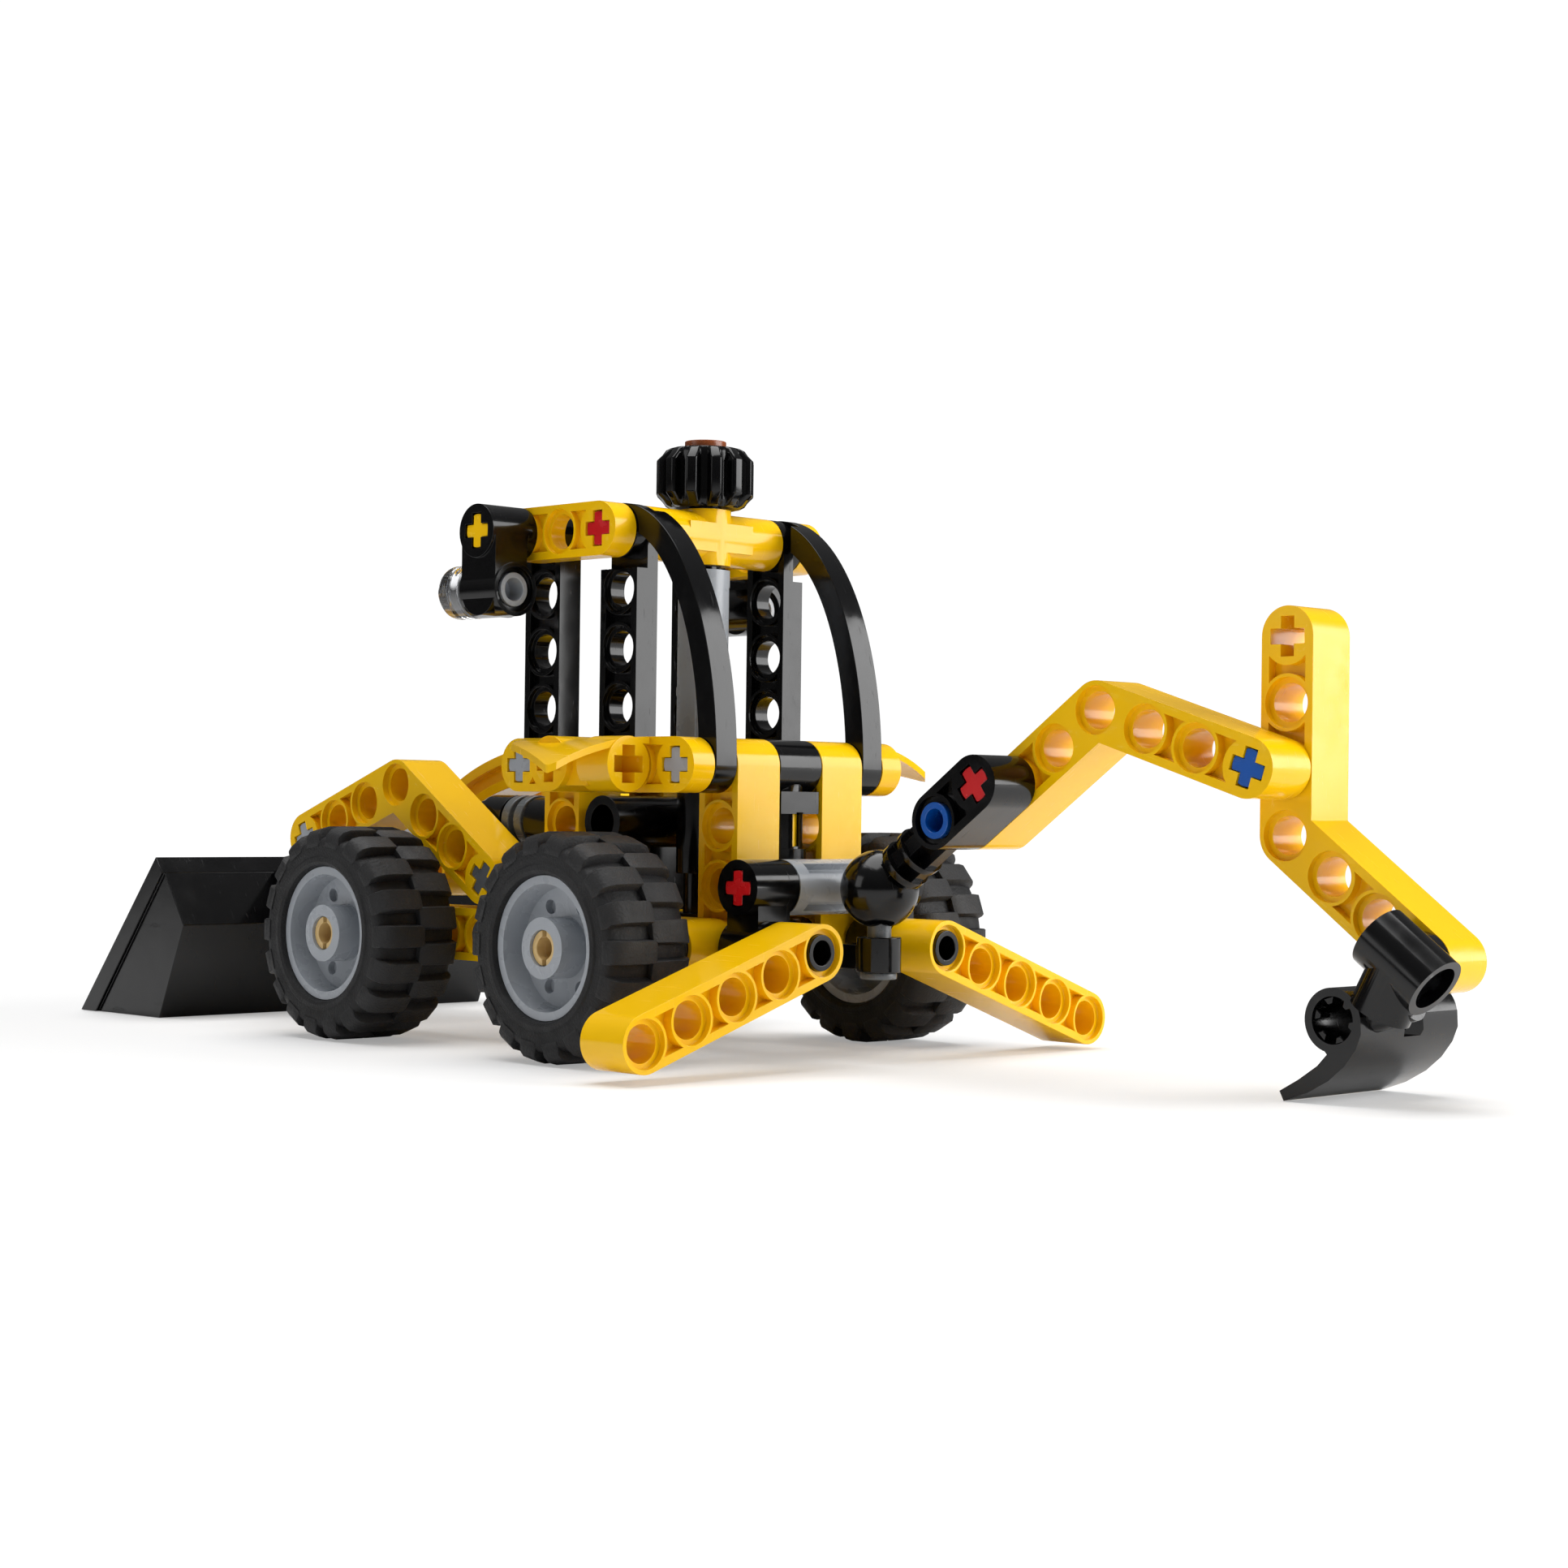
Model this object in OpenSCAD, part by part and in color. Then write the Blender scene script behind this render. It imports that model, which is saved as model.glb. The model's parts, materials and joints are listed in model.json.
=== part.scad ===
// Toy backhoe loader built from studless beams, pins and cross axles on an 8 mm pitch.
// +X is forward (loader bucket), +Y is the left side, +Z is up, ground at Z = 0.

/* [Grid] */
// distance between hole centres, mm
pitch = 8; // [8:1:8]
// thickness of a full beam, mm
beam_t = 7.8; // [7.6:0.1:7.9]
// thickness of a half beam, mm
thin_t = 3.8; // [3.6:0.1:3.9]
// height of a beam, mm
beam_w = 7.4; // [7.2:0.1:7.6]
// radius of a pin hole, mm
hole_r = 2.4; // [2.4:0.05:2.45]
// radius of pins and round shafts, mm
pin_r = 2.35; // [2.3:0.05:2.39]

/* [Wheels] */
// tyre outer diameter, mm
tyre_d = 30.4; // [30:0.1:31]
// tyre width, mm
tyre_w = 14; // [13:0.5:15]
// rim outer diameter, mm
rim_d = 18.8; // [18.6:0.2:21]
// distance from front axle to rear axle, in holes
wheelbase = 6; // [6:1:6]

/* [Stored pose] */
// slope of the loader arm's rear leg above level, degrees
arm_a = 33.3; // [20:0.1:50]
// slope of the boom's lower leg above level, degrees
boom_a = 35.7; // [20:0.1:50]
// lean of the dipper from upright, degrees
dip_a = 0; // [-20:0.1:20]
// slope of the left stabiliser below level, degrees
leg_l_a = 18.4; // [0:0.1:20]
// slope of the right stabiliser below level, degrees
leg_r_a = 19.6; // [0:0.1:20]

/* [Hidden] */
$fn = 24;
// overshoot of cuts
e = 0.01;
// angle between the legs of a bent beam, height of the wheel axles and the model's shift along X, in holes
bend = 53.13;
zh = 1.9;
xo = -0.67;
// points in holes along X and up Z: arm pivot, swivel ball, boom foot, bends and ends of the bent beams
arm_px = 4;
arm_pz = 1;
hub = [-3.3, 0, 1];
foot = [-4.9, 2.14];
bcor = [foot[0] - 3 * cos(boom_a), foot[1] + 3 * sin(boom_a)];
boom_b = bend - boom_a;
bend_end = [bcor[0] - 3 * cos(boom_b), bcor[1] - 3 * sin(boom_b)];
acor = [arm_px + 3 * cos(arm_a), arm_pz + 3 * sin(arm_a)];
arm_b = bend - arm_a;
aend = [acor[0] + 3 * cos(arm_b), acor[1] - 3 * sin(arm_b)];
dcor = [bend_end[0] + sin(dip_a), bend_end[1] - cos(dip_a)];
dend = [dcor[0] - 3 * sin(bend - dip_a), dcor[1] - 3 * cos(bend - dip_a)];

// stud position to millimetres
module at(x, y, z) translate([(x + xo) * pitch, y * pitch, (z + zh) * pitch]) children();
// hole axis along Y, length centred
module ycyl(r, l) rotate([90, 0, 0]) cylinder(r = r, h = l, center = true);
module xcyl(r, l) rotate([0, 90, 0]) cylinder(r = r, h = l, center = true);
module cross2d(a = 4.9, b = 1.9) { square([a, b], center = true); square([b, a], center = true); }
module axle2d() intersection() { cross2d(4.8, 1.75); circle(r = pin_r - 0.03); }
module axle_y(l) rotate([90, 0, 0]) translate([0, 0, -l / 2]) linear_extrude(l) axle2d();
module axle_z(l) linear_extrude(l) axle2d();
// outline of a leg past its first hole, and of a whole straight beam
module leg2d(n) {
  translate([(n - 1) * pitch, 0]) circle(d = beam_w);
  translate([0, -beam_w / 2]) square([(n - 1) * pitch, beam_w]);
}
module stadium(n) {
  circle(d = beam_w);
  leg2d(n);
}
module pin_cut(t, cb) {
  translate([0, 0, -e]) cylinder(r = hole_r, h = t + 2 * e);
  translate([0, 0, -e]) cylinder(r = 3.1, h = cb + e);
  translate([0, 0, t - cb]) cylinder(r = 3.1, h = cb + e);
}
module x_cut(t) translate([0, 0, -e]) linear_extrude(t + 2 * e) cross2d();
module tie2d() difference() {
  translate([pitch / 2, 0]) square([pitch - 1.2, 5.2], center = true);
  circle(r = 3.5);
  translate([pitch, 0]) circle(r = 3.5);
}
module leg_cuts(n, t, cb, rd, xs, ties, first = 0) {
  for (i = [first : n - 1]) translate([i * pitch, 0, 0])
    if (len(search(i, xs)) > 0) x_cut(t); else pin_cut(t, cb);
  for (i = ties) translate([i * pitch, 0, 0]) {
    translate([0, 0, -e]) linear_extrude(rd + e) tie2d();
    translate([0, 0, t - rd]) linear_extrude(rd + e) tie2d();
  }
}
// straight beam along +X from its first hole, holes along Y
module beam(n, t, xs = []) rotate([90, 0, 0]) translate([0, 0, -t / 2]) difference() {
  linear_extrude(t) stadium(n);
  leg_cuts(n, t, t > 5 ? 0.9 : 0.7, t > 5 ? 1.4 : 0.9, xs, [for (i = [0 : n - 2]) i]);
}
// bent beam, four holes a leg, first leg along +X, second turned down by the bend
module bent(t) rotate([90, 0, 0]) translate([0, 0, -t / 2]) difference() {
  linear_extrude(t) {
    stadium(4);
    translate([3 * pitch, 0]) rotate(-bend) leg2d(4);
  }
  leg_cuts(4, t, 0.9, 1.4, [0], [0, 1]);
  translate([3 * pitch, 0, 0]) rotate([0, 0, -bend]) leg_cuts(4, t, 0.9, 1.4, [3], [1, 2], 1);
}
module yellow() color([1, 0.76, 0.03]) children();
module black() color([0.08, 0.08, 0.09]) children();
module gray() color([0.6, 0.62, 0.64]) children();
module dgray() color([0.35, 0.36, 0.38]) children();
module red() color([0.8, 0.06, 0.06]) children();

// ---- frame ----
module vbeam(x, y) yellow() at(x, y, 0) rotate([0, -90, 0]) beam(4, beam_t);
module fascia_beams() for (y = [-1, 1]) vbeam(-1, y);
module cab_beams() for (y = [-1, 1]) vbeam(3, y);
module side_beams() yellow() for (y = [-2, 2]) at(-1, y, 0) beam(9, beam_t);
module floor_beam() black() difference() {
  at(-1, 0, 0) rotate([90, 0, 0]) translate([0, 0, -beam_t / 2]) linear_extrude(beam_t) stadium(6);
  for (x = [-1, 3, 4]) at(x, 0, 0) ycyl(hole_r, 10);
  at(1, 0, 0) cylinder(r = hole_r, h = 10, center = true);
}
// upright blocks: two holes across for the chassis and the arm axle, one along for the engine axle
module pivot_posts() black() for (y = [-1, 1]) difference() {
  union() {
    at(4, y, 0) rotate([0, -90, 0]) rotate([90, 0, 0]) translate([0, 0, -beam_t / 2])
      linear_extrude(beam_t) stadium(2);
    at(3.82, y, 2) xcyl(3.6, 4.6);
    at(3.82, y, 1.45) cube([4.6, 5.6, 5], center = true);
  }
  for (z = [0, 1]) at(4, y, z) ycyl(hole_r, 10);
  at(4, y, 2) xcyl(hole_r, 12);
}
module frame_axles() dgray() for (x = [-1, 3, 4]) at(x, 0, 0) ycyl(pin_r, 39);
module fender_axles() gray() for (x = [-1, 3]) at(x, 0, 3) axle_y(39.4);
module fender_beams() yellow() for (y = [-2.25, 2.25]) at(-1, y, 3) beam(5, thin_t, [0, 4]);
// mudguard: a hole across, a blind cross hole along, and a leaf that curves down over the wheel
leaf_r = 32.6;
leaf_t = 0.9;
module mudguard() difference() {
  union() {
    at(1, 3, 3) ycyl(beam_w / 2, beam_t);
    at(-0.06, 3, 3) xcyl(beam_w / 2, 6.2);
    at(0.5, 3, 3) cube([5, 5.8, 5.8], center = true);
    intersection() {
      at(0, 2.55, 3.455) translate([0, 0, -leaf_r]) difference() {
        xcyl(leaf_r, 80);
        xcyl(leaf_r - leaf_t, 90);
      }
      at(0, 0, 2.5) linear_extrude(12) polygon([[-3.6, 20.4], [-3.3, 28.4], [-2.3, 35.3], [-1.6, 36.1],
        [-0.9, 36], [15.4, 28.2], [17.2, 26], [17.6, 20.4]]);
    }
  }
  at(1, 3, 3) rotate([90, 0, 0]) translate([0, 0, -5]) linear_extrude(10) cross2d();
  at(-0.5, 3, 3) rotate([0, 90, 0]) linear_extrude(4.6) cross2d(5, 2.2);
}
module mudguard_l() yellow() mudguard();
module mudguard_r() yellow() mirror([0, 1, 0]) mudguard();

// ---- cab ----
module front_pillars() black() for (y = [-1.75, 1.75])
  at(3, y, 3) rotate([0, -90, 0]) beam(5, thin_t, [0, 4]);
// the outer half of each rear pillar's top is cut back, so that the arch laps over it
module rear_pillars() black() for (s = [-1, 1]) difference() {
  at(1, s * 1.75, 3) rotate([0, -90, 0]) beam(5, thin_t, [0, 4]);
  at(1, s * 1.875, 7) cube([10, 2, 10.4], center = true);
}
module quarter(a, b) difference() {
  scale([a, b]) circle(r = 1, $fn = 64);
  translate([0, -60]) square([60, 120]);
  translate([-60, -60]) square([120, 60]);
}
// radial width of the arch between its two ends
arch_w = 3.4;
module cab_arches() black() for (s = [-1, 1]) difference() {
  at(1, s * 1.75, 3) rotate([90, 0, 0]) translate([0, 0, -thin_t / 2]) difference() {
    linear_extrude(thin_t) union() {
      difference() {
        quarter(2 * pitch + beam_w / 2, 4 * pitch + beam_w / 2);
        quarter(2 * pitch + beam_w / 2 - arch_w, 4 * pitch + beam_w / 2 - arch_w);
      }
      translate([-2 * pitch, 0]) circle(d = beam_w);
      translate([0, 4 * pitch]) circle(d = beam_w);
    }
    translate([-2 * pitch, 0, 0]) x_cut(thin_t);
    translate([0, 4 * pitch, 0]) x_cut(thin_t);
  }
  at(1, s * 1.625, 6.95) cube([10, 2.1, 12.8], center = true);
}
module roof_beams() yellow() for (y = [-2.25, 2.25]) at(1, y, 7) beam(3, thin_t, [0, 2]);
module roof_block() yellow() difference() {
  union() {
    at(1, 0, 7) ycyl(beam_w / 2, 23.8);
    at(1, 0, 6.52) cylinder(d = beam_w, h = 7.8);
    at(1, 0, 7) cube([7.2, 12, 4], center = true);
  }
  for (s = [-1, 1]) at(1, s, 7) rotate([90, 0, 0]) translate([0, 0, -4.2]) linear_extrude(8.4) cross2d();
  at(1, 0, 7) cylinder(r = hole_r, h = 20, center = true);
}
module lamp_blocks() black() for (s = [-1, 1]) difference() {
  union() {
    at(3, s * 3, 7) ycyl(beam_w / 2, beam_t);
    at(3, s * 3, 6) xcyl(beam_w / 2, beam_t);
    at(3, s * 3.08, 6) ycyl(3.65, 5.6);
    at(3, s * 3.08, 6.5) cube([7.3, 5.6, 8], center = true);
  }
  at(3, s * 3, 7) rotate([90, 0, 0]) translate([0, 0, -5]) linear_extrude(10) cross2d();
  at(3, s * 3, 6) xcyl(hole_r, 10);
  for (d = [-1, 1]) at(3 + d * 0.5, s * 3, 6) xcyl(3.1, 1.6);
}
module lamp_pins() gray() for (s = [-1, 1]) difference() {
  at(3.03, s * 3, 6) xcyl(pin_r, 7.7);
  at(2.6, s * 3, 6) xcyl(1.6, 5);
}
module lamp_lenses() color([0.85, 0.9, 0.95, 0.6]) for (s = [-1, 1]) union() {
  at(3.8, s * 3, 6) xcyl(3.75, 4.4);
  at(4.12, s * 3, 6) xcyl(2.9, 1.6);
}

// ---- rear ----
module rear_column() black() difference() {
  union() {
    at(-1, 0, 3) ycyl(beam_w / 2, beam_t);
    at(-1, 0, 2.15) cylinder(d = 5.8, h = 6);
    at(-1, 0, 1.55) cylinder(d = 5.8, h = 5);
    at(-1, 0, 1.42) cylinder(d = 6.8, h = 1.6);
    at(-1, 0, 2.4) cube([7, 7.2, 3], center = true);
  }
  at(-1, 0, 3) rotate([90, 0, 0]) translate([0, 0, -5]) linear_extrude(10) cross2d();
  at(-1, 0, 0.5) linear_extrude(13.9) cross2d();
  at(-1, 0, 1.95) cube([10, 1.3, 4.6], center = true);
}
module cross_tube() gray() difference() {
  union() {
    at(-2, 0, 1) ycyl(3.7, 15.8);
    at(-1.35, 0, 1) cube([10.2, 6.4, 6.2], center = true);
  }
  for (s = [-1, 1]) at(-2, s * 0.6, 1) rotate([90, 0, 0]) translate([0, 0, -4]) linear_extrude(8) cross2d();
  at(-1, 0, 1) translate([0, 0, -5]) linear_extrude(10) cross2d();
  for (a = [45 : 90 : 315])
    at(-2, 0, 1) rotate([0, a, 0]) translate([0, 0, 3.5]) cube([1.7, 11.6, 2.2], center = true);
}
module leg_blocks() black() for (s = [-1, 1]) difference() {
  union() {
    at(-2, s * 1.5, 1) ycyl(beam_w / 2, beam_t);
    at(-2, s * 1.5, 0) xcyl(beam_w / 2, 7.4);
    at(-2, s * 1.5, 0.5) cube([5.8, 5.8, 6], center = true);
  }
  at(-2, s * 1.5, 1) rotate([90, 0, 0]) translate([0, 0, -5]) linear_extrude(10) cross2d();
  at(-2, s * 1.5, 0) xcyl(hole_r, 10);
}
// short cross axles: lamps, mudguards and rear column
module yellow_axles() yellow() {
  for (s = [-1, 1]) at(3, s * 2.5, 7) axle_y(15.4);
  for (s = [-1, 1]) at(1, s * 2.4, 3) axle_y(14);
  at(-1, 0, 0.52) axle_z(13.6);
}
// short cross axles: roof and leg blocks
module red_axles() red() for (s = [-1, 1]) {
  at(1, s * 1.5, 7) axle_y(15.4);
  at(-2, s * 1.28, 1) axle_y(11.2);
}
module leg_pins() black() for (s = [-1, 1]) difference() {
  at(-2.5, s * 1.5, 0) xcyl(pin_r, 15.4);
  at(-3.2, s * 1.5, 0) xcyl(1.6, 7);
}
module post_bearing() black() difference() {
  union() {
    at(hub[0], 0, -0.36) cylinder(r = 2.95, h = 4.6);
    at(-2.3, 0, -0.12) cube([13.8, 4, 3.2], center = true);
  }
  at(hub[0], 0, -0.5) cylinder(r = 1.65, h = 12);
  at(-1, 0, 0) ycyl(3.72, 12);
}

// ---- bonnet and engine ----
hood_x = 4.05;
module hood_beam() yellow() at(hood_x, 0, 1) rotate([90, 0, 0]) translate([0, 0, -3.9]) difference() {
  linear_extrude(7.8) union() {
    mirror([1, 0]) difference() {
      quarter(4 * pitch + beam_w / 2, 2 * pitch + beam_w / 2);
      quarter(29.8, 14.4);
    }
    translate([4 * pitch, 0]) circle(d = beam_w);
    translate([-8.4, 2 * pitch]) circle(d = beam_w);
    translate([-8.4, 2 * pitch - beam_w / 2]) square([8.42, beam_w]);
  }
  for (z = [-e, 6.3]) translate([0, 0, z]) linear_extrude(1.5 + e) mirror([1, 0]) difference() {
    quarter(34.2, 18.2);
    quarter(31.3, 15.9);
    translate([-80, -12]) square([80, 20]);
  }
  translate([-8.4, 2 * pitch, 0]) x_cut(7.8);
  translate([4 * pitch, 0, 0]) pin_cut(7.8, 0.9);
}
module engine_axles() dgray() for (y = [-1, 1]) at(4.45, y, 2) xcyl(pin_r, 13);
module engine_discs() dgray() for (y = [-1, 1], x = [4.28, 4.62]) difference() {
  at(x, y, 2.02) xcyl(3.7, 1.7);
  at(x, y, 2) xcyl(hole_r, 6);
}
module engine_caps() black() for (y = [-1, 1]) difference() {
  union() {
    at(5.08, y, 2.02) xcyl(3.7, 5);
    at(5.2, y, 2.02) xcyl(3, 7.2);
  }
  at(4.8, y, 2) xcyl(hole_r, 8);
}
module cab_housing() black() difference() {
  union() {
    at(1.96, 0, 2.03) ycyl(3.68, 23.2);
    at(2.8, 0, 2) xcyl(3.4, 10);
    at(2.6, 0, 1.12) cube([12.6, 7.2, 10.2], center = true);
  }
  at(3.2, 0, 2) xcyl(hole_r, 10);
  at(3, 0, 1) ycyl(hole_r, 12);
  for (s = [-1, 1]) at(1.96, s * 1.2, 2.03) ycyl(hole_r, 8);
}

// ---- wheels ----
wx = [wheelbase, wheelbase, 0, 0];
ws = [1, -1, 1, -1];
// half the tyre's width, and the length of a lug across the tread
tyre_h = tyre_w / 2;
lug_l = tyre_h - 0.7;
module wheel_pins() color([0.86, 0.72, 0.45]) for (i = [0 : 3]) difference() {
  union() {
    at(wx[i], ws[i] * 3.15, 0) ycyl(pin_r, 19.6);
    at(wx[i], ws[i] * 2.6, 0) ycyl(3, 0.8);
  }
  at(wx[i], ws[i] * 4.1, 0) ycyl(1.5, 8);
  at(wx[i], ws[i] * 4.2, 0) cube([0.8, 3.4, 6], center = true);
}
// rim as a revolved section; u runs outward from the middle plane of the wheel
module rim(i) gray() at(wx[i], ws[i] * 3.625, 0) rotate([-90 * ws[i], 0, 0]) difference() {
  rotate_extrude($fn = 48) polygon([[2.4, -5.8], [3.6, -5.8], [3.6, 0], [8.2, 0.8], [8.2, -6],
    [rim_d / 2, -6], [rim_d / 2, 6], [8.3, 6], [7.9, 2.6], [4, 2.2], [4, 6.4], [2.4, 6.4]]);
  for (a = [0 : 60 : 300]) rotate([0, 0, a]) translate([6, 0, 1.4]) cylinder(r = 0.95, h = 4, $fn = 16);
}
module tyre(i) color([0.1, 0.1, 0.1]) at(wx[i], ws[i] * 3.625, 0) rotate([-90 * ws[i], 0, 0]) {
  rotate_extrude($fn = 48) polygon([[rim_d / 2 + 0.1, 0.4 - tyre_h], [11.2, -tyre_h], [13.2, 0.2 - tyre_h],
    [14, 1 - tyre_h], [14, tyre_h - 1], [13.2, tyre_h - 0.2], [11.2, tyre_h], [rim_d / 2 + 0.1, tyre_h - 0.4]]);
  for (a = [0 : 20 : 340]) {
    rotate([0, 0, a]) translate([tyre_d / 2 - 2.1, -1.5, 0.2]) cube([2.02, 3, lug_l]);
    rotate([0, 0, a + 10]) translate([tyre_d / 2 - 2.1, -1.5, -0.2 - lug_l]) cube([2.02, 3, lug_l]);
  }
}
module rim_fl() rim(0);
module rim_fr() rim(1);
module rim_rl() rim(2);
module rim_rr() rim(3);
module tyre_fl() tyre(0);
module tyre_fr() tyre(1);
module tyre_rl() tyre(2);
module tyre_rr() tyre(3);

// ---- steering knob on the roof and its shaft ----
module knob() black() at(1, 0, 7.53) difference() {
  union() {
    cylinder(r = 5.7, h = 8.3);
    for (a = [0 : 30 : 330]) rotate([0, 0, a]) translate([0, 0, 0.9]) linear_extrude(6.5)
      polygon([[5.4, -1.15], [6.9, -0.6], [6.9, 0.6], [5.4, 1.15]]);
  }
  translate([0, 0, -e]) linear_extrude(9) cross2d();
}
module knob_stop() color([0.45, 0.2, 0.1]) at(1, 0, 8.58) cylinder(r = 2.9, h = 1);
module shaft_axle() black() {
  at(1, 0, -0.42) cylinder(r = pin_r, h = 16.2);
  at(1, 0, 1.58) axle_z(40.4);
  at(1, 0, 6.5) cylinder(r = pin_r, h = 8.2);
  at(1, 0, 7.5) axle_z(8.6);
}
module shaft_tube() gray() difference() {
  at(1, 0, 2.9) cylinder(r = 3.65, h = 28.36);
  at(1, 0, 1.5) linear_extrude(42) cross2d();
  for (a = [45 : 90 : 315]) for (flute = [[3.05, 9.6], [4.4, 14]]) at(1, 0, flute[0]) rotate([0, 0, a])
    translate([2.9, -0.85, 0]) cube([2, 1.7, flute[1]]);
}
module shaft_bush() black() difference() {
  at(1, 0, 1.15) cylinder(r = 3.4, h = 13.8);
  at(1, 0, 1) cylinder(r = hole_r, h = 16);
}

// ---- loader ----
module loader_arms() yellow() for (y = [-2, 2]) at(arm_px, y, arm_pz) rotate([0, -arm_a, 0]) bent(beam_t);
module arm_axle() dgray() at(arm_px, 0, arm_pz) rotate([0, -arm_a, 0]) axle_y(39.4);
module bucket_axle() gray() at(aend[0], 0, aend[1]) rotate([0, arm_b, 0]) axle_y(39.4);
module bucket_outline() polygon([[0.4, 24.9], [-6.8, 14.6], [-0.4, 0.05], [21.6, 0.05]]);
module bucket_lugs() black() for (y = [-1, 1]) difference() {
  union() {
    at(aend[0], y, aend[1]) ycyl(beam_w / 2, beam_t);
    at(aend[0], y, aend[1]) rotate([0, 27, 0]) translate([0, -3.9, -3.7]) cube([26, 7.8, 7.4]);
  }
  at(aend[0], y, aend[1]) ycyl(hole_r, 10);
  at(12.05, 0, -1.9) rotate([90, 0, 0]) translate([0, 0, -40]) linear_extrude(80) union() {
    bucket_outline();
    translate([0, 10]) square([40, 40]);
  }
}
// open shovel: plate walls with a raised lip round the mouth
module loader_bucket() black() at(12.05, 0, -1.9) rotate([90, 0, 0]) difference() {
  union() {
    translate([0, 0, -31.4]) linear_extrude(62.8) bucket_outline();
    translate([0, 0, -31.95]) linear_extrude(63.9)
      polygon([[0.4, 24.9], [-1.3, 22.5], [17.2, 0.05], [21.6, 0.05]]);
  }
  translate([0, 0, -30.1]) linear_extrude(60.2)
    polygon([[3.1, 26], [-4.6, 14.4], [0.9, 1.9], [26, 1.9], [30, 8]]);
}

// ---- backhoe ----
socket_r = 5.2;
ball_r = 3.6;
// ball on a vertical stem, turning in the bearing under it
module ball_stud() dgray() at(hub[0], 0, 0) union() {
  translate([0, 0, -2.9]) cylinder(r = 1.6, h = 10);
  translate([0, 0, -3.8]) cylinder(r = 2.4, h = 0.9);
  translate([0, 0, hub[2] * pitch]) sphere(r = ball_r, $fn = 48);
}
// socket over the ball, open below for the stem, with a finned neck up to a two-hole end
module boom_foot() black() difference() {
  union() {
    at(hub[0], 0, hub[2]) sphere(r = socket_r, $fn = 48);
    at(hub[0], 0, hub[2]) rotate([0, boom_a, 0]) {
      translate([-14, -1, -2.9]) cube([10, 2, 5.8]);
      translate([-14, -2.9, -1]) cube([10, 5.8, 2]);
      translate([-5.6, 0, 0]) xcyl(3.4, 1);
      translate([-8.6, 0, 0]) xcyl(3.4, 0.8);
    }
    at(foot[0], 0, foot[1]) rotate([0, 180 + boom_a, 0]) rotate([90, 0, 0]) translate([0, 0, -3.9])
      linear_extrude(7.8) stadium(2);
  }
  at(foot[0], 0, foot[1]) rotate([0, 180 + boom_a, 0]) rotate([90, 0, 0]) translate([0, 0, -3.9])
    leg_cuts(2, 7.8, 0.9, 1.2, [1], [0]);
  at(hub[0], 0, hub[2]) sphere(r = ball_r + 0.05, $fn = 48);
  at(hub[0], 0, hub[2]) rotate([90, 0, 0]) translate([0, 0, -1.8]) linear_extrude(3.6)
    polygon([[-2, 1], [-2, -9], [5, -9], [11, -4], [2, 2]]);
}
module boom() yellow() {
  at(foot[0], -1, foot[1]) rotate([0, 180 + boom_a, 0]) mirror([0, 0, 1]) bent(beam_t);
}
// blue pieces: split pin in the foot, short axle in the boom's lower end, axle at the dipper
module boom_pins() color([0.05, 0.3, 0.7]) {
  difference() {
    at(foot[0], 0, foot[1]) ycyl(pin_r, 7.6);
    at(foot[0], 0.35, foot[1]) ycyl(1.5, 6);
  }
  at(foot[0], -1, foot[1]) rotate([0, boom_a, 0]) axle_y(7.6);
  at(bend_end[0], -1.5, bend_end[1]) rotate([0, -boom_b, 0]) axle_y(15.4);
}
module boom_axle() red() at(foot[0] - cos(boom_a), -0.5, foot[1] + sin(boom_a))
  rotate([0, boom_a, 0]) axle_y(15.4);
module dipper() yellow() at(bend_end[0] - 2 * sin(dip_a), -2, bend_end[1] + 2 * cos(dip_a))
  rotate([0, 90 - dip_a, 0]) bent(beam_t);
module dipper_axle() dgray() at(dend[0], -1.75, dend[1]) rotate([0, bend - dip_a, 0]) axle_y(11.4);
// sleeve on the dipper's end, with a tube across it and a short foot that holds the bucket
module coupler_solid() {
  at(dend[0], -1.25, dend[1]) ycyl(beam_w / 2, 3.8);
  at(dend[0] - 0.05, -1, dend[1] + 0.03) rotate([0, -36.9, 0]) xcyl(3.9, 9.4);
  at(dend[0], -1, dend[1]) rotate([0, 152, 0]) cylinder(r = 3.7, h = 6.4);
}
module coupler() black() difference() {
  coupler_solid();
  at(dend[0], -1.5, dend[1]) ycyl(hole_r, 8.2);
  at(dend[0] - 0.5, -1, dend[1] - 0.3) rotate([0, -36.9, 0]) xcyl(2.9, 5);
}
tube = [-11.61, -2, -0.66];
// toothed tube with a curved blade down to the cutting edge, and a notch and a neck for the coupler
module digger_bucket() black() difference() {
  union() {
    at(tube[0], tube[1], tube[2]) rotate([90, 0, 0]) translate([0, 0, -10.4]) linear_extrude(20.8) union() {
      circle(r = 3.8);
      polygon([[-3.8, 0.6], [-3.9, -1.4], [-3.2, -3.2], [-1.7, -5.2], [0.4, -7], [3.2, -8.6], [6.6, -9.85],
        [7.2, -8.7], [4.6, -7.2], [2, -5.4], [0.7, -4], [1.2, -3.4]]);
    }
    at(tube[0] - 0.1, -1.15, tube[2] + 0.05) rotate([0, -72, 0]) cylinder(r = 2.6, h = 8);
  }
  at(tube[0], tube[1], tube[2]) ycyl(2.8, 30);
  at(tube[0] - 0.62, tube[1] - 0.1, tube[2] + 0.3) rotate([0, 0, 45]) cube([4.4, 4.4, 9], center = true);
  coupler_solid();
}

// ---- stabilisers ----
module leg_l() yellow() at(-3, 1.5, 0) rotate([-leg_l_a, 0, 0]) rotate([0, 0, 90]) beam(5, beam_t);
module leg_r() yellow() mirror([0, 1, 0])
  at(-3, 1.5, 0) rotate([-leg_r_a, 0, 0]) rotate([0, 0, 90]) beam(5, beam_t);

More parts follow.
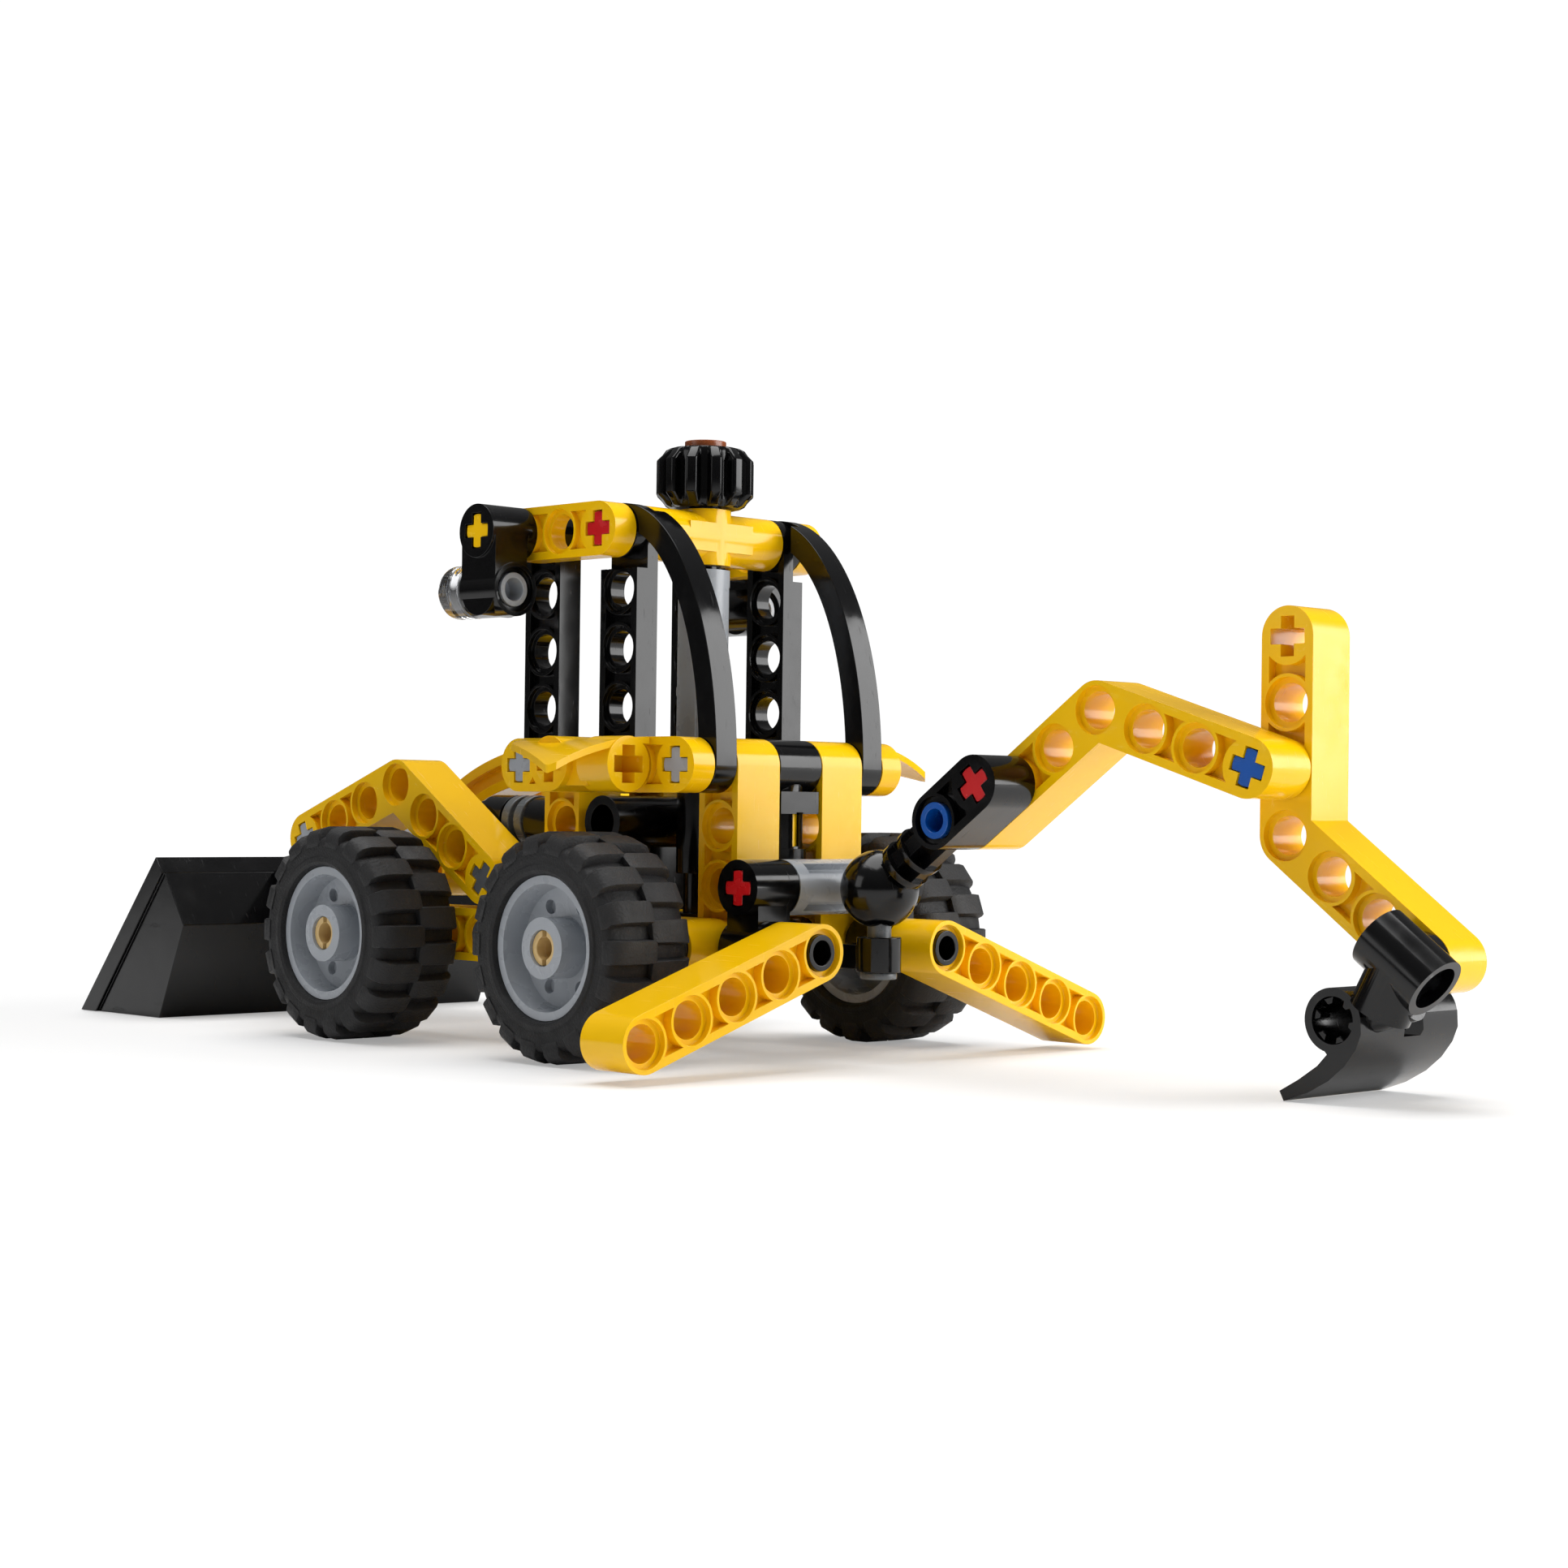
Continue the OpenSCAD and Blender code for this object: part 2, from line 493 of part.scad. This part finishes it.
fascia_beams();
cab_beams();
side_beams();
floor_beam();
pivot_posts();
frame_axles();
fender_axles();
fender_beams();
mudguard_l();
mudguard_r();
front_pillars();
rear_pillars();
cab_arches();
roof_beams();
roof_block();
yellow_axles();
red_axles();
lamp_blocks();
lamp_pins();
lamp_lenses();
rear_column();
cross_tube();
leg_blocks();
leg_pins();
post_bearing();
hood_beam();
engine_axles();
engine_discs();
engine_caps();
cab_housing();
wheel_pins();
knob();
knob_stop();
shaft_axle();
shaft_tube();
shaft_bush();
rim_fl();
rim_fr();
rim_rl();
rim_rr();
tyre_fl();
tyre_fr();
tyre_rl();
tyre_rr();
loader_arms();
arm_axle();
bucket_axle();
bucket_lugs();
loader_bucket();
ball_stud();
boom_foot();
boom();
boom_pins();
boom_axle();
dipper();
dipper_axle();
coupler();
digger_bucket();
leg_l();
leg_r();
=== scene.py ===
import json
import math
import bpy
import bmesh
from mathutils import Matrix, Vector


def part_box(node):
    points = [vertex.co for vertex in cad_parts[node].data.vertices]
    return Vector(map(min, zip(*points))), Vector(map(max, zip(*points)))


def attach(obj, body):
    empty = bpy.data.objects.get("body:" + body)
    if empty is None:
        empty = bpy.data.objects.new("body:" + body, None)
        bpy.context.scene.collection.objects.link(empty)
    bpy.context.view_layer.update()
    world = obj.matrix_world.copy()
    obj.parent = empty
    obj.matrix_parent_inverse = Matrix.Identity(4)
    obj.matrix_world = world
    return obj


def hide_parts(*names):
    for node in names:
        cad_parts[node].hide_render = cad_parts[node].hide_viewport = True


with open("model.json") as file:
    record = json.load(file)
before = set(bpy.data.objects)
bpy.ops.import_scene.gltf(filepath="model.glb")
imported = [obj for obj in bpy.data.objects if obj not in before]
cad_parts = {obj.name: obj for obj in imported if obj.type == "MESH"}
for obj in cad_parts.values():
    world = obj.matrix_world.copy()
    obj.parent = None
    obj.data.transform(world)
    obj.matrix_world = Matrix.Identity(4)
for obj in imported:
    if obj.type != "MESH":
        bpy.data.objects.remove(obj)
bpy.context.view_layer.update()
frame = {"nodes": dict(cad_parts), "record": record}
nodes = frame["nodes"]
MM = 0.001


# ---- camera, at the photograph's angle ----
CAMERA_AT = (-0.27904, 0.26528, 0.0336)
YAW, PITCH, ROLL = (math.radians(a) for a in (-45.0, 0.51, 0.73))
LENS_MM, SENSOR_MM = 63.4, 36.0


def add_camera():
    fwd = Vector((math.cos(PITCH) * math.cos(YAW), math.cos(PITCH) * math.sin(YAW), math.sin(PITCH)))
    side = fwd.cross(Vector((0, 0, 1))).normalized()
    up = side.cross(fwd)
    right = side * math.cos(ROLL) + up * math.sin(ROLL)
    top = up * math.cos(ROLL) - side * math.sin(ROLL)
    turn = Matrix((right, top, -fwd)).transposed().to_4x4()
    data = bpy.data.cameras.new("camera")
    data.lens, data.sensor_width = LENS_MM, SENSOR_MM
    data.clip_start, data.clip_end = 0.01, 20
    cam = bpy.data.objects.new("camera", data)
    cam.matrix_world = Matrix.Translation(CAMERA_AT) @ turn
    bpy.context.scene.collection.objects.link(cam)
    bpy.context.scene.camera = cam


add_camera()


# ---- materials ----
class Nodes:
    """Short calls for building one material. Noise is laid out in metres, so scales are waves per metre."""

    def __init__(self, name):
        self.mat = bpy.data.materials.new(name)
        self.mat.use_nodes = True
        self.t = self.mat.node_tree
        self.t.nodes.clear()
        self.out = self.add("OutputMaterial")
        self.bsdf = self.add("BsdfPrincipled")
        self.link(self.bsdf, "BSDF", self.out, "Surface")
        self.co = self.add("TexCoord")

    def add(self, kind, **values):
        n = self.t.nodes.new("ShaderNode" + kind)
        for k, v in values.items():
            setattr(n, k, v)
        return n

    def link(self, a, out, b, inp):
        self.t.links.new(a.outputs[out], b.inputs[inp])

    def put(self, n, **values):
        """Sets sockets by name, with _ for a space."""
        for k, v in values.items():
            n.inputs[k.replace("_", " ")].default_value = v
        return n

    def noise(self, scale, detail, stretch=None):
        n = self.put(self.add("TexNoise"), Scale=scale, Detail=detail)
        src, out = self.co, "Object"
        if stretch:
            m = self.put(self.add("Mapping"), Scale=stretch, Rotation=(0.4, 0.7, 0.3))
            self.link(src, out, m, "Vector")
            src, out = m, "Vector"
        self.link(src, out, n, "Vector")
        return n

    def ramp(self, src, out, lo, hi, to_lo, to_hi):
        r = self.add("MapRange")
        for i, v in enumerate((lo, hi, to_lo, to_hi), 1):
            r.inputs[i].default_value = v
        self.link(src, out, r, "Value")
        return r

    def mix(self, factor, a, b):
        """A colour between a and b, each of them an (r, g, b) or an earlier mix."""
        m = self.add("Mix", data_type="RGBA")
        self.link(factor, 0, m, 0)
        for i, v in ((6, a), (7, b)):
            if isinstance(v, bpy.types.Node):
                self.link(v, 2, m, i)
            else:
                m.inputs[i].default_value = (*v, 1)
        return m

    def math(self, op, a, out_a, b, out_b):
        m = self.add("Math", operation=op)
        self.link(a, out_a, m, 0)
        self.link(b, out_b, m, 1)
        return m

    def bump(self, height, strength, depth_mm, under=None):
        b = self.put(self.add("Bump"), Strength=strength, Distance=depth_mm * MM)
        self.link(height, 0, b, "Height")
        if under:
            self.link(under, "Normal", b, "Normal")
        return b


def moulded(name, colour, rough, shade=0.9, ripple=0.12, wear=0.12, **shader):
    """Moulded plastic: cloudy colour, soft flow ripples, fine grain, hairline scratches, and paler edges
    that are partly rubbed wear and partly a painted edge highlight.
    """
    n = Nodes(name)
    dark = tuple(c * shade for c in colour)
    pale_wear_and_highlight = tuple(min(1, c * 1.25 + 0.05) for c in colour)
    clouds = n.ramp(n.noise(55, 3), 0, 0.3, 0.7, 0, 1)
    # edges are paled and roughened in patches: partly rubbed wear, partly a painted highlight along the
    # edges
    edge = n.ramp(n.add("NewGeometry"), "Pointiness", 0.52, 0.62, 0, wear)
    edge_patches = n.ramp(n.noise(700, 4), 0, 0.42, 0.62, 0, 1)
    worn_and_highlit_edge = n.math("MULTIPLY", edge, 0, edge_patches, 0)
    wear_and_highlight_colour = n.mix(worn_and_highlit_edge, n.mix(clouds, dark, colour), pale_wear_and_highlight)
    n.link(wear_and_highlight_colour, 2, n.bsdf, "Base Color")
    scratches = n.ramp(n.noise(1, 2, (90, 3200, 420)), 0, 0.66, 0.72, 0, 0.14)
    gloss = n.ramp(n.noise(240, 5), 0, 0.3, 0.75, *rough)
    scratched = n.math("ADD", gloss, 0, scratches, 0)
    total = n.math("ADD", scratched, 0, worn_and_highlit_edge, 0)
    n.link(total, 0, n.bsdf, "Roughness")
    ripples = n.bump(n.noise(190, 1), ripple, 0.2)
    grain = n.bump(n.noise(5200, 3), 0.03, 0.03, under=ripples)
    n.link(grain, "Normal", n.bsdf, "Normal")
    n.put(n.bsdf, **shader)
    return n.mat


def rubber(name):
    """Matt rubber: gritty, and paler along its edges, partly rubbed wear and partly a painted edge
    highlight.
    """
    n = Nodes(name)
    clouds = n.ramp(n.noise(90, 4), 0, 0.35, 0.7, 0, 1)
    body = n.mix(clouds, (0.007, 0.007, 0.0075), (0.013, 0.013, 0.014))
    # paler edges: partly rubbed wear, partly a painted highlight along the edges
    edge = n.ramp(n.add("NewGeometry"), "Pointiness", 0.52, 0.6, 0, 0.5)
    wear_and_highlight_colour = n.mix(edge, body, (0.03, 0.03, 0.031))
    n.link(wear_and_highlight_colour, 2, n.bsdf, "Base Color")
    gloss = n.ramp(n.noise(400, 4), 0, 0.3, 0.7, 0.5, 0.68)
    n.link(gloss, 0, n.bsdf, "Roughness")
    n.link(n.bump(n.noise(3000, 5), 0.9, 0.12), "Normal", n.bsdf, "Normal")
    n.put(n.bsdf, Specular_IOR_Level=0.35)
    return n.mat


def clear(name):
    """Clear plastic, faintly wavy."""
    n = Nodes(name)
    gloss = n.ramp(n.noise(300, 3), 0, 0.3, 0.7, 0.02, 0.08)
    n.link(gloss, 0, n.bsdf, "Roughness")
    tint = n.mix(gloss, (0.97, 0.98, 1.0), (0.9, 0.93, 0.95))
    n.link(tint, 2, n.bsdf, "Base Color")
    n.link(n.bump(n.noise(420, 2), 0.2, 0.2), "Normal", n.bsdf, "Normal")
    n.put(n.bsdf, IOR=1.49, Transmission_Weight=1.0)
    return n.mat


# slot: colour, lowest and highest roughness, and what differs from the usual moulding
PLAIN_IOR = 1.5
PLASTICS = {
    "yellow_plastic": ((0.98, 0.565, 0.002), (0.14, 0.22),
                       dict(shade=0.95, ripple=0.07, Specular_IOR_Level=0.34)),
    "black_plastic": ((0.0022, 0.0022, 0.0027), (0.11, 0.19),
                      dict(shade=0.6, wear=0.03, Specular_IOR_Level=0.36)),
    "dark_gray_plastic": ((0.11, 0.12, 0.13), (0.22, 0.34), dict(IOR=PLAIN_IOR)),
    "light_gray_plastic": ((0.36, 0.385, 0.42), (0.22, 0.34), dict(shade=0.92, IOR=PLAIN_IOR)),
    "tan_plastic": ((0.72, 0.5, 0.21), (0.2, 0.32), dict(IOR=PLAIN_IOR)),
    "red_plastic": ((0.62, 0.008, 0.012), (0.18, 0.3), dict(IOR=PLAIN_IOR)),
    "blue_plastic": ((0.0, 0.085, 0.42), (0.18, 0.3), dict(IOR=PLAIN_IOR)),
    "brown_plastic": ((0.3, 0.075, 0.02), (0.2, 0.32), dict(IOR=PLAIN_IOR)),
}
FINISH = {slot: moulded(slot, colour, rough, **more) for slot, (colour, rough, more) in PLASTICS.items()}
FINISH["clear_plastic"] = clear("clear_plastic")
FINISH["tyre_rubber"] = rubber("tyre_rubber")
SLOT_OF = {s["node"]: s["material_slot"] for s in frame["record"]["subparts"]}


# ---- shared building steps ----
def round_edges(o, width_mm, least_angle):
    b = o.modifiers.new("edge", "BEVEL")
    b.width, b.segments = width_mm * MM, 3
    b.limit_method, b.angle_limit = "ANGLE", math.radians(least_angle)
    return b


def add_object(name, bm):
    mesh = bpy.data.meshes.new(name)
    bm.to_mesh(mesh)
    bm.free()
    o = bpy.data.objects.new(name, mesh)
    bpy.context.scene.collection.objects.link(o)
    return o


def add_piece(name, bm, body, slot, smooth=40, bevel_mm=0.0, replaces=()):
    """A piece made from a bmesh in metres, in the frame's own axes; edges over smooth degrees stay sharp."""
    bmesh.ops.recalc_face_normals(bm, faces=bm.faces)
    o = add_object(name, bm)
    o.data.materials.append(FINISH[slot])
    o.data.shade_smooth()
    o.data.set_sharp_from_angle(angle=math.radians(smooth))
    if bevel_mm:
        round_edges(o, bevel_mm, 30).harden_normals = True
    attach(o, body)
    if replaces:
        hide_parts(*replaces)


def bridge(bm, loops, closed):
    """Walls from each closed loop of vertices to the next, and from the last to the first if closed."""
    following = loops[1:] + loops[:1] if closed else loops[1:]
    for p, q in zip(loops, following):
        for k in range(len(p)):
            j = (k + 1) % len(p)
            bm.faces.new((p[k], p[j], q[j], q[k]))


# ---- finishes and rounded edges on the CAD nodes ----
# edge radius in mm: the usual one, the one for axles, pins and small fittings, and the exceptions
EDGE_USUAL, EDGE_SMALL = 0.22, 0.12
EDGE = {"loader_bucket": 0.12, "digger_bucket": 0.2, "lamp_lenses": 0.35,
        "mudguard_l": 0.18, "mudguard_r": 0.18}
SMALL = {"shaft_axle", "bucket_axle", "dipper_axle", "arm_axle", "fender_axles", "yellow_axles",
         "red_axles", "boom_axle", "boom_pins", "wheel_pins", "lamp_pins", "knob_stop", "shaft_bush",
         "leg_pins"}
for name, o in nodes.items():
    o.data.materials.clear()
    o.data.materials.append(FINISH[SLOT_OF[name]])
    for p in o.data.polygons:
        p.material_index = 0
    o.modifiers.new("weld", "WELD").merge_threshold = 0.002 * MM
    flat = o.modifiers.new("flat", "DECIMATE")
    flat.decimate_type, flat.angle_limit = "DISSOLVE", math.radians(0.4)
    round_edges(o, EDGE.get(name, EDGE_SMALL if name in SMALL else EDGE_USUAL), 32)
    shading = o.modifiers.new("shade", "WEIGHTED_NORMAL")
    shading.mode, shading.weight = "FACE_AREA", 50


# ---- tyres: rounded carcass with bead rings and chamfered lugs, offset from side to side ----
# outer half of the carcass section: radius and distance from the wheel's middle plane, in mm
CARCASS = [(9.5, 6.1), (9.7, 6.7), (10.1, 6.97), (10.7, 6.92), (10.95, 6.72), (11.4, 6.7), (12.3, 6.74),
           (12.9, 6.6), (13.3, 6.3), (13.6, 5.6), (13.85, 4.0), (13.95, 1.8)]
CROWN = (13.95, 0.0)
CARCASS_STEPS = 96
LUGS = 18
# a lug's sections, from the middle plane to the sidewall: distance from the plane, radius at the root and at
# the top, in mm, and half its angle at the top and at the root, in degrees
LUG_ROWS = [(-0.35, 13.7, 14.85, 5.1, 6.6), (0.25, 13.7, 15.13, 5.5, 6.8), (4.6, 13.4, 15.1, 5.7, 6.9),
            (5.9, 13.2, 14.75, 5.9, 7.0), (6.6, 12.8, 14.0, 5.9, 7.0), (6.82, 12.3, 13.0, 5.6, 6.6)]
# the chamfer round a lug's top: its drop in mm, and its reach inside and outside the top's angle in degrees
CHAMFER_DROP, CHAMFER_IN, CHAMFER_OUT = 0.25, 0.25, 0.35


def tyre(name, body, outward):
    """outward is 1 for a wheel on the +Y side and -1 for one on the -Y side."""
    lo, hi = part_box(name)
    centre = (lo + hi) / 2
    bm = bmesh.new()

    def vert(radius, a, across):
        spot = Vector((math.cos(a) * radius, outward * across, math.sin(a) * radius))
        return bm.verts.new(centre + spot * MM)

    section = CARCASS + [CROWN] + [(r, -across) for r, across in reversed(CARCASS)]
    turns = [2 * math.pi * i / CARCASS_STEPS for i in range(CARCASS_STEPS)]
    bridge(bm, [[vert(r, a, across) for r, across in section] for a in turns], closed=True)
    for side in (1, -1):
        for i in range(LUGS):
            mid = math.radians(360 / LUGS) * (i + (0.5 if side < 0 else 0))
            loops = []
            for across, r_in, r_out, top, root in LUG_ROWS:
                shoulder = r_out - CHAMFER_DROP
                outline = [(r_in, -root), (shoulder, -top - CHAMFER_OUT), (r_out, -top + CHAMFER_IN),
                           (r_out, top - CHAMFER_IN), (shoulder, top + CHAMFER_OUT), (r_in, root)]
                loops.append([vert(r, mid + math.radians(d), side * across) for r, d in outline])
            bridge(bm, loops, closed=False)
            bm.faces.new(loops[0])
            bm.faces.new(loops[-1])
    add_piece(name + "_lugged", bm, body, "tyre_rubber", smooth=32, replaces=(name,))


for tag, outward in (("fl", 1), ("fr", -1), ("rl", 1), ("rr", -1)):
    tyre("tyre_" + tag, "wheel_" + tag, outward)


# ---- roof knob: twelve rounded teeth that taper to both faces, with a sunk top and a bore ----
KNOB_TEETH = 12
KNOB_STEPS = 24 * KNOB_TEETH


def knob():
    lo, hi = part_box("knob")
    c = (lo + hi) / 2
    h = (hi.z - lo.z) / MM
    sunk = h - 0.5
    # height above the lower face, radius between the teeth and radius at their tips, in mm
    rows = [(0, 4.3, 4.3), (0, 4.9, 5.0), (0.3, 5.1, 5.6), (1.0, 5.15, 6.1), (1.7, 5.2, 6.82),
            (1.9, 5.2, 6.88), (6.4, 5.2, 6.88), (6.6, 5.2, 6.82), (7.3, 5.15, 6.1), (8.0, 5.1, 5.6),
            (h, 4.9, 5.0), (h, 4.3, 4.3), (sunk, 4.1, 4.1), (sunk, 3.0, 3.0), (sunk, 2.45, 2.45),
            (0, 2.45, 2.45)]
    bm = bmesh.new()
    loops = []
    for z, core, tip in rows:
        loop = []
        for i in range(KNOB_STEPS):
            a = 2 * math.pi * i / KNOB_STEPS
            k = max(0.0, min(1.0, 0.5 + 1.15 * (math.cos(KNOB_TEETH * a) + 0.05)))
            r = core + (tip - core) * k * k * (3 - 2 * k)
            spot = (c.x + math.cos(a) * r * MM, c.y + math.sin(a) * r * MM, lo.z + z * MM)
            loop.append(bm.verts.new(spot))
        loops.append(loop)
    bridge(bm, loops, closed=True)
    add_piece("knob_gear", bm, "roof_knob", "black_plastic", smooth=50, replaces=("knob",))


knob()


# ---- inner teeth at both ends of the digger's tube ----
# the tube lies along Y at this X and Z, in metres
TUBE_X, TUBE_Z = -0.09824, 0.00992
TUBE_TEETH, FIRST_TOOTH = 6, 12
# a tooth, in mm: radius at its root, sunk in the tube's wall, and at its tip; length; gap to the tube's end
TOOTH_ROOT, TOOTH_TIP, TOOTH_LENGTH, TOOTH_INSET = 2.86, 1.95, 2.2, 0.35
# half its angle at the root and at the tip, in degrees
ROOT_HALF, TIP_HALF = 15, 9


def tube_teeth():
    """Short wedges that stand in the tube's clear bore."""
    lo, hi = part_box("digger_bucket")
    outline = ((TOOTH_ROOT, ROOT_HALF), (TOOTH_TIP, TIP_HALF),
               (TOOTH_TIP, -TIP_HALF), (TOOTH_ROOT, -ROOT_HALF))
    bm = bmesh.new()
    for end, inward in ((hi.y - TOOTH_INSET * MM, -1), (lo.y + TOOTH_INSET * MM, 1)):
        for i in range(TUBE_TEETH):
            mid = math.radians(360 / TUBE_TEETH * i + FIRST_TOOTH)
            loops = []
            for along in (0.0, TOOTH_LENGTH):
                loop = []
                for radius, off in outline:
                    a = mid + math.radians(off)
                    spot = (TUBE_X + math.cos(a) * radius * MM, end + inward * along * MM,
                            TUBE_Z + math.sin(a) * radius * MM)
                    loop.append(bm.verts.new(spot))
                loops.append(loop)
            bridge(bm, loops, closed=False)
            bm.faces.new(loops[0])
            bm.faces.new(loops[-1])
    add_piece("digger_tube_teeth", bm, "digger", "black_plastic", bevel_mm=0.15)


tube_teeth()


# ---- floor, lights, world ----
PAPER_GLOW = 1.06
BACKDROP = 1.05


def add_floor():
    bm = bmesh.new()
    bmesh.ops.create_grid(bm, x_segments=1, y_segments=1, size=6)
    o = add_object("floor", bm)
    n = Nodes("floor_paint")
    tone = n.mix(n.noise(3, 2), (0.9, 0.9, 0.9), (0.93, 0.93, 0.93))
    n.link(tone, 2, n.bsdf, "Base Color")
    n.put(n.bsdf, Roughness=0.7, Specular_IOR_Level=0.2)
    # seen directly, the paper glows a little under the object and turns plain white away from it
    away = n.add("VectorMath", operation="LENGTH")
    n.link(n.co, "Object", away, 0)
    fade = n.ramp(away, "Value", 0.13, 0.3, 0.3, 1.0)
    share = n.math("MULTIPLY", fade, 0, n.add("LightPath"), "Is Camera Ray")
    glow = n.put(n.add("Emission"), Strength=PAPER_GLOW)
    both = n.add("MixShader")
    n.link(share, 0, both, 0)
    n.link(n.bsdf, 0, both, 1)
    n.link(glow, 0, both, 2)
    n.link(both, 0, n.out, "Surface")
    o.data.materials.append(n.mat)


def softbox(name, place, aim, size, watts):
    data = bpy.data.lights.new(name, "AREA")
    data.shape = "RECTANGLE"
    data.size, data.size_y, data.energy = *size, watts
    o = bpy.data.objects.new(name, data)
    o.location = place
    o.rotation_mode = "QUATERNION"
    o.rotation_quaternion = (Vector(aim) - Vector(place)).to_track_quat("-Z", "Y")
    bpy.context.scene.collection.objects.link(o)


def add_world():
    """Plain white as a backdrop; as a light, a dim room that is brighter overhead."""
    w = bpy.data.worlds.new("studio")
    w.use_nodes = True
    t = w.node_tree
    t.nodes.clear()
    out, mix, seen, room, path, co, split, band = (t.nodes.new("ShaderNode" + kind) for kind in (
        "OutputWorld", "MixShader", "Background", "Background", "LightPath", "TexCoord", "SeparateXYZ",
        "MapRange"))
    seen.inputs["Color"].default_value = (1, 1, 1, 1)
    seen.inputs["Strength"].default_value = BACKDROP
    # from and to height, then the room's strength at each
    for i, v in enumerate((-0.1, 0.9, 0.05, 0.3), 1):
        band.inputs[i].default_value = v
    t.links.new(co.outputs["Generated"], split.inputs[0])
    t.links.new(split.outputs["Z"], band.inputs["Value"])
    t.links.new(band.outputs[0], room.inputs["Strength"])
    t.links.new(path.outputs["Is Camera Ray"], mix.inputs[0])
    t.links.new(room.outputs[0], mix.inputs[1])
    t.links.new(seen.outputs[0], mix.inputs[2])
    t.links.new(mix.outputs[0], out.inputs["Surface"])
    bpy.context.scene.world = w


add_floor()
softbox("top", place=(0.05, 0.0, 0.75), aim=(0, 0, 0), size=(0.8, 0.6), watts=6.0)
softbox("right", place=(-0.62, -0.45, 0.27), aim=(0, 0, 0.03), size=(0.6, 0.5), watts=5.6)
softbox("left", place=(0.3, 0.75, 0.3), aim=(0, 0, 0.03), size=(0.3, 0.4), watts=0.6)
add_world()
bpy.context.scene.view_settings.view_transform = "Standard"
